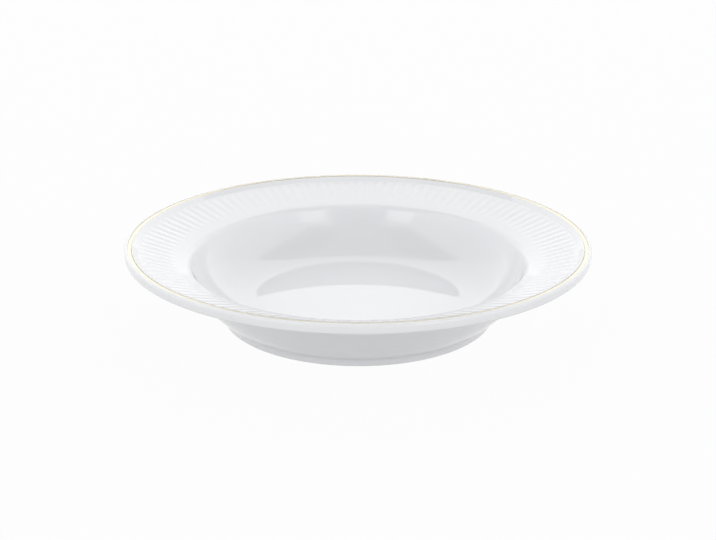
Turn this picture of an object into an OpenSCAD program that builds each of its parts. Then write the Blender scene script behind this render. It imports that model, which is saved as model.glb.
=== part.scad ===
// Rimmed soup plate: glazed porcelain with a deep round well, a fluted rim, a raised lip that
// carries a narrow gold line, and a foot ring under the well.
// Millimetres. +Z is up. The origin is the centre of the circle that the foot stands on.

/* [Plate] */
// Diameter over the edge of the lip
plate_d = 225; // [220:1:236]
// Height of the lip's crest above the table
plate_h = 39.3; // [38:0.1:42]

/* [Foot] */
// Diameter of the foot ring at its outer edge, where it stands
foot_d = 133.4; // [130:0.2:138]
// Width of the flat face under the foot ring
foot_w = 2.6; // [2:0.1:3.6]
// Height of the foot ring's outer side
foot_h = 3.2; // [2.4:0.1:4]
// Lean of the foot ring's sides, as the width it gains on each side going up
foot_draft = 0.4; // [0.2:0.1:0.8]
// Depth of the shallow hollow inside the foot ring
hollow_h = 1.6; // [1:0.1:2.2]

/* [Well] */
// Thickness of the floor at its middle
floor_t = 3.7; // [2.8:0.1:4.4]
// Slope of the floor at its edge, in degrees above the table
floor_slope = 0.5; // [0.2:0.1:2]
// Depth of the well, from the corner of its mouth down to the middle of the floor
well_depth = 23.8; // [23:0.1:26]
// Inside diameter of the well at the corner of its mouth
mouth_d = 164.6; // [160:0.2:168]
// Slope of the well's side under its mouth, in degrees above the table
side_slope = 64.6; // [61:0.2:67]
// Radius of the hollow between the floor and the well's side
well_round = 33.9; // [29:0.1:37]
// Radius of the rounded edge where the well meets the rim
mouth_round = 4.7; // [3:0.1:6]

/* [Outside] */
// Thickness of the well's side at its mouth
side_t = 4.9; // [4:0.1:6]
// Bow of the outer wall's curve, out from a straight line between the foot ring and the mouth
belly_bow = 1.9; // [1:0.1:2.8]
// Radius of the hollow where the outer wall turns out under the rim
under_round = 5; // [3:0.5:8]
// Thickness of the rim at the corner of the well's mouth
rim_t = 3.4; // [2.8:0.1:4.2]
// Height of the lip's edge, from its crest down to the rim's underside
edge_h = 4.2; // [3.6:0.1:4.8]
// Radius of the lip's lower corner
edge_round = 1.2; // [0.6:0.1:1.6]

/* [Lip] */
// Width of the lip, from the end of the rim to the outer edge
lip_w = 6.3; // [5.6:0.1:7]
// Width of the crown, the upper part of the lip that carries the gold line
crown_w = 3.8; // [3.5:0.1:4.2]
// Rise of the lip, from the end of the rim to the inner edge of the crown
lip_rise = 1.9; // [1.5:0.1:2.3]
// Slope of the crown, in degrees above the table
crown_slope = 8; // [4:1:12]
// Radius of the hollow where the rim turns up into the lip
lip_sweep = 1.8; // [1:0.1:2.6]
// Radius of the inner edge of the crown
crown_round = 0.6; // [0.3:0.1:0.9]
// Radius of the outer corner of the lip
lip_round = 1.2; // [1:0.1:1.4]

/* [Flutes] */
// Number of flutes round the rim
flute_count = 115; // [60:1:120]
// Width of the smooth ring between the corner of the mouth and the flutes
flute_land = 6.9; // [5:0.1:8]
// Width of the smooth ring between the flutes and the hollow where the lip turns up
flute_gap = 0.2; // [0.2:0.1:1.6]
// Width of a flute
flute_w = 2.8; // [2:0.1:3.3]
// Depth of a flute
flute_depth = 0.35; // [0.2:0.05:0.5]
// Length over which a flute runs out to nothing at each end
flute_runout = 1.9; // [1.2:0.1:2.8]

/* [Gold line] */
// Distance from the inner edge of the crown to the gold line
gold_gap = 0.25; // [0.1:0.05:0.5]
// Width of the gold line along the crown
gold_w = 2; // [1.2:0.1:2.1]
// Thickness of the gold line, which is let into the crown flush with it
gold_t = 0.1; // [0.06:0.02:0.2]

/* [Colours] */
// Colour of the glazed porcelain
plate_colour = "#f2f3f6"; // ["#f2f3f6":white, "#f3ead6":ivory]
// Colour of the line on the lip
line_colour = "#e6c66a"; // ["#e6c66a":gold, "#c9ccd1":platinum]

/* [Hidden] */

$fn = 180;
// Steps in which a quarter turn of the section's outline is drawn, and the fewest in any arc
arc_steps = 16;
arc_steps_min = 3;
// Width of a flute's sloping flank, as a share of the flute's width
flute_flank_share = 0.34;
// How far the cutter of a flute stands above the rim, as a share of the flute's depth
flute_overrun_share = 0.1;
// How far the cutter for the gold line's seat stands above the crown
seat_overrun = gold_t;

plate_r = plate_d / 2;
foot_r = foot_d / 2;
edge_z = plate_h - edge_h;
floor_z = hollow_h + floor_t;

// The point at a distance from p in the direction of an angle
function shift(p, angle, distance) = p + distance * [cos(angle), sin(angle)];

// The points of an arc about a centre
function arc(centre, radius, from, to) =
    let (steps = max(arc_steps_min, ceil(abs(to - from) / 90 * arc_steps)))
    [for (i = [0:steps]) shift(centre, from + (to - from) * i / steps, radius)];

// The arc that rounds a corner of an outline going outwards, from one slope to another. Its
// centre lies above the outline where that turns up, and below it where that turns down.
function bend(corner, from, to, radius) =
    let (side = sign(to - from), start = shift(corner, from + 180, radius * tan(abs(to - from) / 2)))
    arc(shift(start, from + 90 * side, radius), radius, from - 90 * side, to - 90 * side);

// The first point of a circle that is met from p in the direction of an angle
function meet(p, angle, centre, radius) =
    let (away = p - centre, along = away * [cos(angle), sin(angle)])
    shift(p, angle, -along - sqrt(along * along - away * away + radius * radius));

// The order of a list turned round
function turned(list) = [for (i = [len(list) - 1:-1:0]) list[i]];

// The crown's slope ends on the round outer corner of the lip
crest_c = [plate_r - lip_round, plate_h - lip_round];
crown_end = shift(crest_c, crown_slope + 90, lip_round);
function crown_z(r) = crown_end[1] + (r - crown_end[0]) * tan(crown_slope);

// Corners of the upper face, before they are rounded: mouth, lip, crown, outer edge
mouth_corner = [mouth_d / 2, floor_z + well_depth];
crown_corner = [plate_r - crown_w, crown_z(plate_r - crown_w)];
lip_corner = [plate_r - lip_w, crown_corner[1] - lip_rise];
outer_corner = [plate_r, crown_z(plate_r)];
sweep_slope = atan2(lip_rise, lip_w - crown_w);
rim_slope = atan2(lip_corner[1] - mouth_corner[1], lip_corner[0] - mouth_corner[0]);

// The floor is a shallow dish. Its edge lies where the hollow's arc, which runs on from it at
// the floor's slope, also touches the straight side that comes down from the mouth's corner.
hollow_turn = side_slope - floor_slope;
hollow_reach = well_round * tan(hollow_turn / 2);
floor_r = (mouth_corner[0] * sin(side_slope) - well_depth * cos(side_slope)
    - hollow_reach * sin(hollow_turn)) / (sin(side_slope) - tan(floor_slope / 2) * cos(side_slope));
floor_round = floor_r / sin(floor_slope);
hollow_c = shift([floor_r, floor_z + floor_r * tan(floor_slope / 2)], floor_slope + 90, well_round);

top_line = concat(
    arc([0, floor_z + floor_round], floor_round, -90, floor_slope - 90),
    arc(hollow_c, well_round, floor_slope - 90, side_slope - 90),
    bend(mouth_corner, side_slope, rim_slope, mouth_round),
    bend(lip_corner, rim_slope, sweep_slope, lip_sweep),
    bend(crown_corner, sweep_slope, crown_slope, crown_round),
    bend(outer_corner, crown_slope, -90, lip_round));

// Outside, the wall is one curve up from the foot ring, which passes its own thickness outside
// the corner of the mouth. The rim's underside passes the rim's thickness under that corner.
belly_start = [foot_r + foot_draft, foot_h];
belly_span = shift(mouth_corner, side_slope - 90, side_t) - belly_start;
belly_half = 2 * atan(2 * belly_bow / norm(belly_span));
belly_slope = atan2(belly_span[1], belly_span[0]) - belly_half;
belly_round = norm(belly_span) / 2 / sin(belly_half);
belly_c = shift(belly_start, belly_slope + 90, belly_round);

edge_corner = [plate_r, edge_z];
under_span = edge_corner - shift(mouth_corner, rim_slope - 90, rim_t);
under_slope = atan2(under_span[1], under_span[0]);

// The hollow under the rim touches the wall's curve and the underside, so its centre lies its
// own radius away from both
under_c = meet(shift(edge_corner, under_slope - 90, under_round), under_slope + 180,
    belly_c, belly_round + under_round);
belly_end = atan2(under_c[1] - belly_c[1], under_c[0] - belly_c[0]);

under_line = concat(
    [[0, hollow_h], [foot_r - foot_w - foot_draft, hollow_h], [foot_r - foot_w, 0], [foot_r, 0]],
    arc(belly_c, belly_round, belly_slope - 90, belly_end),
    arc(under_c, under_round, belly_end + 180, under_slope + 90),
    bend(edge_corner, under_slope, 90, edge_round));

// The flutes are straight, and all point at the tip of the cone that the rim's face lies on
rim_tip_z = mouth_corner[1] - mouth_corner[0] * tan(rim_slope);
flute_in = (mouth_corner[0] + flute_land) / cos(rim_slope);
lip_reach = lip_sweep * tan((sweep_slope - rim_slope) / 2);
flute_out = lip_corner[0] / cos(rim_slope) - lip_reach - flute_gap;
flute_overrun = flute_depth * flute_overrun_share;

// A groove's outline about its middle: flat below, with a sloping flank at each side that
// reaches the surface at the full width and carries on above it
module groove(width, flank) {
    past = flank * flute_overrun_share;
    polygon([
        [-width / 2 - past, flute_overrun],
        [-width / 2 + flank, -flute_depth],
        [width / 2 - flank, -flute_depth],
        [width / 2 + past, flute_overrun]]);
}

// Cuts one flute: the groove's cross-section along the rim, with ends that slope like flanks
module flute_cutter() {
    span = flute_out - flute_in;
    translate([0, 0, rim_tip_z])
        rotate([0, -rim_slope, 0])
            translate([flute_in + span / 2, 0, 0])
                intersection() {
                    rotate([90, 0, 90])
                        linear_extrude(2 * span, center = true)
                            groove(flute_w, flute_w * flute_flank_share);
                    rotate([90, 0, 0])
                        linear_extrude(2 * flute_w, center = true)
                            groove(span, flute_runout);
                }
}

// The gold line's section, with more height above the crown where it cuts its own seat
module gold_section(overrun = 0) {
    inner = shift(crown_corner, crown_slope, gold_gap);
    outer = shift(inner, crown_slope, gold_w);
    polygon([
        shift(inner, crown_slope - 90, gold_t),
        shift(outer, crown_slope - 90, gold_t),
        shift(outer, crown_slope + 90, overrun),
        shift(inner, crown_slope + 90, overrun)]);
}

module plate_body() {
    color(plate_colour)
        difference() {
            rotate_extrude() polygon(concat(top_line, turned(under_line)));
            rotate_extrude() gold_section(seat_overrun);
            for (i = [0:flute_count - 1])
                rotate([0, 0, 360 * i / flute_count]) flute_cutter();
        }
}

module gold_band() {
    color(line_colour)
        rotate_extrude() gold_section();
}

plate_body();
gold_band();
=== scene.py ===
import math

import bpy
import numpy as np
from mathutils import Matrix, Vector


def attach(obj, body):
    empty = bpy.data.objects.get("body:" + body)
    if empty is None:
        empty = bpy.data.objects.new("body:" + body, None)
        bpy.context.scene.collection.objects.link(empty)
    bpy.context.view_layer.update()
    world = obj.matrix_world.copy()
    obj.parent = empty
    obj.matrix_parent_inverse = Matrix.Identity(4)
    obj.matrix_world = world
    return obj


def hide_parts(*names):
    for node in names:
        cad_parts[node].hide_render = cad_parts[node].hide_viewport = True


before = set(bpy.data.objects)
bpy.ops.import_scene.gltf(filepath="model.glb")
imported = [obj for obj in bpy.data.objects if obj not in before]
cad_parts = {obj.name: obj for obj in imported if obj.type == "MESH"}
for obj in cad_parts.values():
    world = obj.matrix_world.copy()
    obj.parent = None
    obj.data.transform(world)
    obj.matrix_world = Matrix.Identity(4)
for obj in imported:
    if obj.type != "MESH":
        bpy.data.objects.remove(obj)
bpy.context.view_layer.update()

# The plate: one piece of white porcelain, shaped on a turning mould that presses the flutes into
# the rim, then dipped in clear glaze and fired. Only the ring that it stands on is wiped bare.
# Its section, drawn from the axis out over the top and back underneath, is turned once.
plate_r = 0.1125
plate_h = 0.0393
foot_r = 0.0667
foot_w = 0.0026
foot_h = 0.0032
foot_draft = 0.0004
foot_edge = 0.0005
crease_round = 0.0040
hollow_h = 0.0016
hollow_ring_r = 0.02
floor_z = hollow_h + 0.0037
floor_slope = math.radians(0.5)
well_depth = 0.0238
mouth_r = 0.0823
side_slope = math.radians(64.6)
well_round = 0.0339
mouth_round = 0.0047
side_t = 0.0049
belly_bow = 0.0019
under_round = 0.0050
rim_t = 0.0034
edge_h = 0.0042
edge_round = 0.0012
lip_w = 0.0063
crown_w = 0.0038
lip_rise = 0.0019
crown_slope = math.radians(8)
lip_sweep = 0.0018
crown_round = 0.0006
lip_round = 0.0012
flute_count = 115
flute_depth_in = 0.00024
flute_depth_out = 0.00035
flute_land = 0.0069
flute_gap = 0.0002
flute_runout = 0.0026
columns_per_flute = 8
quarter = math.pi / 2


def shift(point, angle, distance):
    """The point at a distance from another, in the direction of an angle: p + d (cos a, sin a)."""
    return np.asarray(point, float) + distance * np.array([math.cos(angle), math.sin(angle)])


def arc(centre, radius, start, end, steps):
    """Points c + R (cos a, sin a) of an arc, evenly spaced in the angle a."""
    a = np.linspace(start, end, steps + 1)[:, None]
    return np.asarray(centre) + radius * np.hstack([np.cos(a), np.sin(a)])


def bend(corner, slope_in, slope_out, radius, steps):
    """The arc that rounds a corner of the outline, from the slope it comes at to the one it leaves at.

    It starts R tan(turn / 2) before the corner, about a centre to the left of a left turn and to
    the right of a right turn.
    """
    side = math.copysign(1, slope_out - slope_in)
    start = shift(corner, slope_in + math.pi, radius * math.tan(abs(slope_out - slope_in) / 2))
    centre = shift(start, slope_in + side * quarter, radius)
    return arc(centre, radius, slope_in - side * quarter, slope_out - side * quarter, steps)


def straight(start, end, steps):
    """The points between start and end that cut the line into equal steps, without its ends."""
    t = np.linspace(0, 1, steps + 1)[1:-1, None]
    return np.asarray(start) * (1 - t) + np.asarray(end) * t


def meet(point, angle, centre, radius):
    """The first point of a circle that is met from a point in the direction of an angle."""
    away = point - centre
    along = away @ np.array([math.cos(angle), math.sin(angle)])
    return shift(point, angle, -along - math.sqrt(along ** 2 - away @ away + radius ** 2))


crest = np.array([plate_r - lip_round, plate_h - lip_round])
crown_end = shift(crest, crown_slope + quarter, lip_round)


def crown_point(r):
    """The point of the crown's straight slope at a radius."""
    return np.array([r, crown_end[1] + (r - crown_end[0]) * math.tan(crown_slope)])


mouth_corner = np.array([mouth_r, floor_z + well_depth])
crown_corner = crown_point(plate_r - crown_w)
lip_corner = crown_corner - [lip_w - crown_w, lip_rise]
outer_corner = crown_point(plate_r)
edge_corner = np.array([plate_r, plate_h - edge_h])
sweep_slope = math.atan2(lip_rise, lip_w - crown_w)
rim_slope = math.atan2(*(lip_corner - mouth_corner)[::-1])

# The floor's shallow dish ends where the hollow's arc starts. That arc also touches the straight
# side that comes down from the mouth's corner.
hollow_turn = side_slope - floor_slope
hollow_reach = well_round * math.tan(hollow_turn / 2)
floor_r = ((mouth_r * math.sin(side_slope) - well_depth * math.cos(side_slope)
            - hollow_reach * math.sin(hollow_turn))
           / (math.sin(side_slope) - math.tan(floor_slope / 2) * math.cos(side_slope)))
floor_round = floor_r / math.sin(floor_slope)
hollow_c = shift([floor_r, floor_z + floor_r * math.tan(floor_slope / 2)],
                 floor_slope + quarter, well_round)

# The outer wall is one curve up from the foot ring, and a hollow joins it to the rim's underside
belly_start = np.array([foot_r + foot_draft, foot_h])
belly_span = shift(mouth_corner, side_slope - quarter, side_t) - belly_start
belly_half = 2 * math.atan(2 * belly_bow / np.linalg.norm(belly_span))
belly_slope = math.atan2(*belly_span[::-1]) - belly_half
belly_round = np.linalg.norm(belly_span) / 2 / math.sin(belly_half)
belly_c = shift(belly_start, belly_slope + quarter, belly_round)
under_slope = math.atan2(*(edge_corner - shift(mouth_corner, rim_slope - quarter, rim_t))[::-1])
under_c = meet(shift(edge_corner, under_slope - quarter, under_round), under_slope + math.pi,
               belly_c, belly_round + under_round)
belly_end = math.atan2(*(under_c - belly_c)[::-1])

mouth = bend(mouth_corner, side_slope, rim_slope, mouth_round, 16)
lip = bend(lip_corner, rim_slope, sweep_slope, lip_sweep, 4)
well = arc(hollow_c, well_round, floor_slope - quarter, side_slope - quarter, 19)
edge = bend(outer_corner, crown_slope, -quarter, lip_round, 7)
low_edge = bend(edge_corner, -quarter, under_slope - math.pi, edge_round, 5)
under = arc(under_c, under_round, under_slope + quarter, belly_end + math.pi, 5)
foot_lean = math.atan2(foot_h, foot_draft)
outline = np.concatenate([
    arc([0, floor_z + floor_round], floor_round, -quarter, floor_slope - quarter, 5)[:-1],
    well,
    straight(well[-1], mouth[0], 2),
    mouth,
    straight(mouth[-1], lip[0], 12),
    lip,
    bend(crown_corner, sweep_slope, crown_slope, crown_round, 4),
    edge,
    low_edge,
    straight(low_edge[-1], under[0], 2),
    under,
    arc(belly_c, belly_round, belly_end, belly_slope - quarter, 7)[1:-1],
    bend(belly_start, belly_slope - math.pi, foot_lean - math.pi, crease_round, 4),
    bend([foot_r, 0], foot_lean - math.pi, -math.pi, foot_edge, 3),
    bend([foot_r - foot_w, 0], math.pi, math.pi - foot_lean, foot_edge, 3),
    bend([foot_r - foot_w - foot_draft, hollow_h], math.pi - foot_lean, math.pi, foot_edge, 3),
    [[hollow_ring_r, hollow_h], [0, hollow_h]]])


def ease(t):
    """Runs smoothly from 0 to 1 as t does: 3 t^2 - 2 t^3, held at the ends."""
    t = np.clip(t, 0, 1)
    return t * t * (3 - 2 * t)


def flute_drop(r, z, a):
    """Depth of the flutes below the rim: d (1 + cos n a) / 2, faded out at both of their ends.

    The greatest depth d grows evenly from the inner end of the flutes to the outer one.
    """
    inner = mouth_r + flute_land
    outer = lip[0, 0] - flute_gap
    deepest = flute_depth_in + (flute_depth_out - flute_depth_in) * (r - inner) / (outer - inner)
    on_top = z > mouth_corner[1] + (r - mouth_r) * math.tan(rim_slope) - rim_t / 2
    fade = ease((r - inner) / flute_runout) * ease((outer - r) / flute_runout) * on_top
    return deepest * fade * (1 + np.cos(flute_count * a)) / 2


def turned(name, profile, columns, lower):
    """A closed mesh of revolution: point (r, z) of the profile at angle a is (r cos a, r sin a, z).

    lower(r, z, a) gives how far the surface is lowered there. The first and last points of the
    profile lie on the axis and close the mesh as poles.
    """
    a = np.arange(columns) * (2 * np.pi / columns)
    rings = profile[1:-1]
    r, z = rings[:, :1], rings[:, 1:]
    grid = np.stack([r * np.cos(a), r * np.sin(a), z - lower(r, z, a[None])], axis=-1)
    co = np.concatenate([grid.reshape(-1, 3), [[0, 0, profile[0, 1]], [0, 0, profile[-1, 1]]]])
    row = np.arange(len(rings) - 1)[:, None] * columns
    here = np.arange(columns)
    there = (here + 1) % columns
    quads = np.stack([row + here, row + columns + here, row + columns + there, row + there],
                     axis=-1).reshape(-1, 4)
    last = (len(rings) - 1) * columns
    top = np.full(columns, len(co) - 2)
    bottom = np.full(columns, len(co) - 1)
    ends = np.concatenate([np.stack([top, here, there], axis=-1),
                           np.stack([bottom, last + there, last + here], axis=-1)])
    mesh = bpy.data.meshes.new(name)
    mesh.from_pydata(co.tolist(), [], quads.tolist() + ends.tolist())
    mesh.shade_smooth()
    piece = bpy.data.objects.new(name, mesh)
    bpy.context.scene.collection.objects.link(piece)
    return piece


plate = turned("plate_porcelain", outline, flute_count * columns_per_flute, flute_drop)
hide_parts("plate_body")
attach(plate, "root")


class Wire:
    """A shader socket that Python's operators work on, so that shader maths reads as an expression."""

    def __init__(self, tree, socket):
        self.tree, self.socket = tree, socket

    def maths(self, operation, a, b):
        return add_node(self.tree, "ShaderNodeMath", {"operation": operation}, {0: a, 1: b})

    def __add__(self, other):
        return self.maths("ADD", self, other)

    __radd__ = __add__

    def __mul__(self, other):
        return self.maths("MULTIPLY", self, other)

    __rmul__ = __mul__

    def __lt__(self, other):
        return self.maths("LESS_THAN", self, other)

    def __or__(self, other):
        return self.maths("MAXIMUM", self, other)


def add_node(tree, kind, settings, inputs, output=0):
    """Adds a node of a type, with its settings and then its inputs, and returns one output, if any."""
    node = tree.nodes.new(kind)
    for name, value in settings.items():
        setattr(node, name, value)
    for name, value in inputs.items():
        if isinstance(value, Wire):
            tree.links.new(value.socket, node.inputs[name])
        else:
            node.inputs[name].default_value = value
    if node.outputs:
        return Wire(tree, node.outputs[output])


def new_material(name):
    """An empty node material and its tree."""
    material = bpy.data.materials.new(name)
    material.use_nodes = True
    material.node_tree.nodes.clear()
    return material, material.node_tree


# The glaze is a touch bluer in some places than in others. The bare ring is warmer and rough.
bluish_glaze = (0.794, 0.801, 0.826, 1)
whiter_glaze = (0.808, 0.811, 0.826, 1)
bare_colour = (0.72, 0.70, 0.66, 1)
bare_h = 0.00012
bare_rough = 0.6
bare_grain = 0.5
glaze_rough = 0.02
glaze_grain = 0.02
glaze_index = 1.52


def glazed_porcelain():
    """White body under a clear glaze, which is faintly wavy, with the bare ring that it stands on."""
    material, tree = new_material("glazed porcelain")
    place = add_node(tree, "ShaderNodeTexCoord", {}, {}, "Object")
    broad = add_node(tree, "ShaderNodeTexNoise", {}, {"Vector": place, "Scale": 22.0, "Detail": 1.0})
    fine = add_node(tree, "ShaderNodeTexNoise", {}, {"Vector": place, "Scale": 900.0, "Detail": 2.0})
    height = add_node(tree, "ShaderNodeSeparateXYZ", {}, {"Vector": place}, "Z")
    bare = height < bare_h
    waves = broad + fine * (glaze_grain + bare * bare_grain)
    normal = add_node(tree, "ShaderNodeBump", {},
                      {"Strength": 0.05, "Distance": 0.0005, "Height": waves})
    tint = add_node(tree, "ShaderNodeMix", {"data_type": "RGBA"},
                    {"Factor": broad, 6: bluish_glaze, 7: whiter_glaze}, 2)
    colour = add_node(tree, "ShaderNodeMix", {"data_type": "RGBA"},
                      {"Factor": bare, 6: tint, 7: bare_colour}, 2)
    shade = add_node(tree, "ShaderNodeBsdfPrincipled", {}, {
        "Base Color": colour, "Roughness": glaze_rough + fine * glaze_rough + bare * bare_rough,
        "IOR": glaze_index, "Normal": normal})
    add_node(tree, "ShaderNodeOutputMaterial", {}, {"Surface": shade})
    return material


plate.data.materials.append(glazed_porcelain())

# The gold line: bright gold painted on the glaze with a brush while the plate turned, and fired.
# It is drawn as a thin closed ring on the crown's slope, a hair proud of it and sunk into it below.
gold_gap = 0.00025
gold_w = 0.0020
gold_t = 0.0001
gold_lift = 0.00002
thin_gold = (0.650, 0.605, 0.480, 1)
thick_gold = (0.690, 0.650, 0.525, 1)
gold_rough = 0.16
brush_rough = 0.12
gold_in = shift(crown_corner, crown_slope, gold_gap)
gold_out = shift(gold_in, crown_slope, gold_w)


def ring(name, profile, columns):
    """A closed ring: each point (r, z) of a closed profile at angle a is (r cos a, r sin a, z)."""
    a = np.arange(columns) * (2 * np.pi / columns)
    r, z = profile[:, :1], profile[:, 1:]
    co = np.stack([r * np.cos(a), r * np.sin(a), z + 0 * a], axis=-1).reshape(-1, 3)
    row = np.arange(len(profile))[:, None] * columns
    below = np.roll(row, -1, axis=0)
    here = np.arange(columns)
    there = (here + 1) % columns
    quads = np.stack([row + here, below + here, below + there, row + there], axis=-1).reshape(-1, 4)
    mesh = bpy.data.meshes.new(name)
    mesh.from_pydata(co.tolist(), [], quads.tolist())
    mesh.shade_smooth()
    piece = bpy.data.objects.new(name, mesh)
    bpy.context.scene.collection.objects.link(piece)
    return piece


gold_profile = np.concatenate([
    shift(gold_in, crown_slope + quarter, gold_lift)[None],
    shift((gold_in + gold_out) / 2, crown_slope + quarter, gold_lift)[None],
    shift(gold_out, crown_slope + quarter, gold_lift)[None],
    shift(gold_out, crown_slope - quarter, gold_t)[None],
    shift(gold_in, crown_slope - quarter, gold_t)[None]])
gold = ring("gold_line", gold_profile, flute_count * columns_per_flute)
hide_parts("gold_band")
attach(gold, "root")


def fired_gold():
    """Burnished gold, a little uneven where the brush laid it on."""
    material, tree = new_material("fired gold")
    place = add_node(tree, "ShaderNodeTexCoord", {}, {}, "Object")
    patchy = add_node(tree, "ShaderNodeTexNoise", {}, {"Vector": place, "Scale": 300.0, "Detail": 3.0})
    colour = add_node(tree, "ShaderNodeMix", {"data_type": "RGBA"},
                      {"Factor": patchy, 6: thin_gold, 7: thick_gold}, 2)
    shade = add_node(tree, "ShaderNodeBsdfPrincipled", {}, {
        "Base Color": colour, "Metallic": 1.0, "Roughness": gold_rough + patchy * brush_rough})
    add_node(tree, "ShaderNodeOutputMaterial", {}, {"Surface": shade})
    return material


gold.data.materials.append(fired_gold())

# The table and backdrop: one white sweep, shown white, that keeps the plate's shadow. Polished and
# clear things show it white as well.
floor_half = 3.0
paper_colour = (0.59, 0.59, 0.59, 1)
paper_glow = 0.145
paper_shown = 0.96
room_level = 1.05


def card(name, corners, material):
    """A flat four-sided sheet that belongs to the studio."""
    mesh = bpy.data.meshes.new(name)
    mesh.from_pydata(corners, [], [(0, 1, 2, 3)])
    mesh.materials.append(material)
    sheet = bpy.data.objects.new(name, mesh)
    bpy.context.scene.collection.objects.link(sheet)
    return sheet


def shown_white(tree):
    """1 on rays from the camera, off gloss and through glass, where the studio shows white, else 0."""
    return (add_node(tree, "ShaderNodeLightPath", {}, {}, "Is Camera Ray")
            | add_node(tree, "ShaderNodeLightPath", {}, {}, "Is Glossy Ray")
            | add_node(tree, "ShaderNodeLightPath", {}, {}, "Is Transmission Ray"))


def floor_paper():
    """White paper that takes light and shadow, lets a little light through, and shows near white."""
    material, tree = new_material("studio paper")
    paper = add_node(tree, "ShaderNodeBsdfDiffuse", {}, {"Color": paper_colour})
    glow = add_node(tree, "ShaderNodeEmission", {}, {"Color": (1, 1, 1, 1), "Strength": 1.0})
    share = paper_glow + shown_white(tree) * (paper_shown - paper_glow)
    mixed = add_node(tree, "ShaderNodeMixShader", {}, {"Fac": share, 1: paper, 2: glow})
    add_node(tree, "ShaderNodeOutputMaterial", {}, {"Surface": mixed})
    return material


card("studio_floor", [(-floor_half, -floor_half, 0), (floor_half, -floor_half, 0),
                      (floor_half, floor_half, 0), (-floor_half, floor_half, 0)], floor_paper())

world = bpy.data.worlds.new("studio air")
bpy.context.scene.world = world
world.use_nodes = True
air = world.node_tree
air.nodes.clear()
room = add_node(air, "ShaderNodeBackground", {}, {"Color": (1, 1, 1, 1), "Strength": room_level})
white = add_node(air, "ShaderNodeBackground", {}, {"Color": (1, 1, 1, 1), "Strength": 1.0})
backdrop = add_node(air, "ShaderNodeMixShader", {}, {"Fac": shown_white(air), 1: room, 2: white})
add_node(air, "ShaderNodeOutputWorld", {}, {"Surface": backdrop})

# The light tent round the table: cloth walls lit from outside over a skirting that is bright in
# front, a dimmer roof, and a dim strip where the camera looks in, with a softbox on each side of
# it. It gives the soft light and what the glaze mirrors, and isn't seen itself.
tent_half = 2.0
tent_h = tent_half * math.tan(math.radians(57))
skirting_h = tent_half * math.tan(math.radians(10))
strip_half = tent_half / math.tan(math.radians(68))
roof_half = tent_half / 3
wall_level = 1.31
back_level = 1.55
skirting_level = 1.15
front_skirting_level = 2.10
strip_level = 0.35
roof_level = 0.62
roof_side_level = 0.30
softbox_away = 2.2
softbox_low = softbox_away * math.tan(math.radians(20))
softbox_high = softbox_away * math.tan(math.radians(41))
softbox_level = 2.7


def tent_sheet(name, corners, level):
    """A sheet of the tent, level times as bright as white, that the camera looks through."""
    material, tree = new_material(name)
    glow = add_node(tree, "ShaderNodeEmission", {}, {"Color": (1, 1, 1, 1), "Strength": level})
    add_node(tree, "ShaderNodeOutputMaterial", {}, {"Surface": glow})
    card(name, corners, material).visible_camera = False


def upright(name, start, end, low, high, level):
    """An upright sheet between two places (x, y), from one height to another."""
    tent_sheet(name, [(*start, low), (*end, low), (*end, high), (*start, high)], level)


def tent_wall(name, start, end, low_level, level):
    """A wall of the tent between two places (x, y): the skirting, and the lit cloth above it."""
    upright(name + "_skirting", start, end, 0, skirting_h, low_level)
    upright(name + "_cloth", start, end, skirting_h, tent_h, level)


def tent_roof(name, west, east, level):
    """A strip of the tent's roof, from back to front, between two places x."""
    tent_sheet(name, [(west, tent_half, tent_h), (east, tent_half, tent_h),
                      (east, -tent_half, tent_h), (west, -tent_half, tent_h)], level)


def softbox(name, start, end):
    """A lamp box that faces the plate, between two directions in degrees round the table."""
    places = [(softbox_away * math.cos(math.radians(a)), softbox_away * math.sin(math.radians(a)))
              for a in (start, end)]
    upright(name, *places, softbox_low, softbox_high, softbox_level)


tent_wall("tent_back", (tent_half, tent_half), (-tent_half, tent_half), skirting_level, back_level)
tent_wall("tent_left", (-tent_half, tent_half), (-tent_half, -tent_half), skirting_level, wall_level)
tent_wall("tent_front_left", (-tent_half, -tent_half), (-strip_half, -tent_half),
          front_skirting_level, wall_level)
tent_wall("tent_front_right", (strip_half, -tent_half), (tent_half, -tent_half),
          front_skirting_level, wall_level)
tent_wall("tent_right", (tent_half, -tent_half), (tent_half, tent_half), skirting_level, wall_level)
tent_wall("tent_strip", (-strip_half, -tent_half), (strip_half, -tent_half),
          front_skirting_level, strip_level)
tent_roof("tent_roof_left", -tent_half, -roof_half, roof_side_level)
tent_roof("tent_roof_middle", -roof_half, roof_half, roof_level)
tent_roof("tent_roof_right", roof_half, tent_half, roof_side_level)
softbox("softbox_left", 225, 246)
softbox("softbox_right", 297, 318)

# The camera stands where the photograph was taken from: 20.1 degrees above the table and 0.6 metres
# away, found from the ellipses of the rim, the lip's edge and the foot.
picture_w = 716
scale_px = 224.9 / plate_r
focal_px = 1179.4
camera_rise = math.radians(20.14)
camera_roll = math.radians(0.19)
centre_row = 270.0
foot_row = 310.3
back = Vector((0, -math.cos(camera_rise), math.sin(camera_rise)))
up = Vector((0, math.sin(camera_rise), math.cos(camera_rise)))
lens = bpy.data.cameras.new("camera")
lens.sensor_width = 36.0
lens.lens = lens.sensor_width * focal_px / picture_w
lens.clip_start = 0.01
camera = bpy.data.objects.new("camera", lens)
bpy.context.scene.collection.objects.link(camera)
place = up * ((foot_row - centre_row) / scale_px) + back * (focal_px / scale_px)
turn = Matrix((Vector((1, 0, 0)), up, back)).transposed().to_4x4()
camera.matrix_world = Matrix.Translation(place) @ turn @ Matrix.Rotation(camera_roll, 4, "Z")
bpy.context.scene.camera = camera
bpy.context.scene.view_settings.view_transform = "Standard"
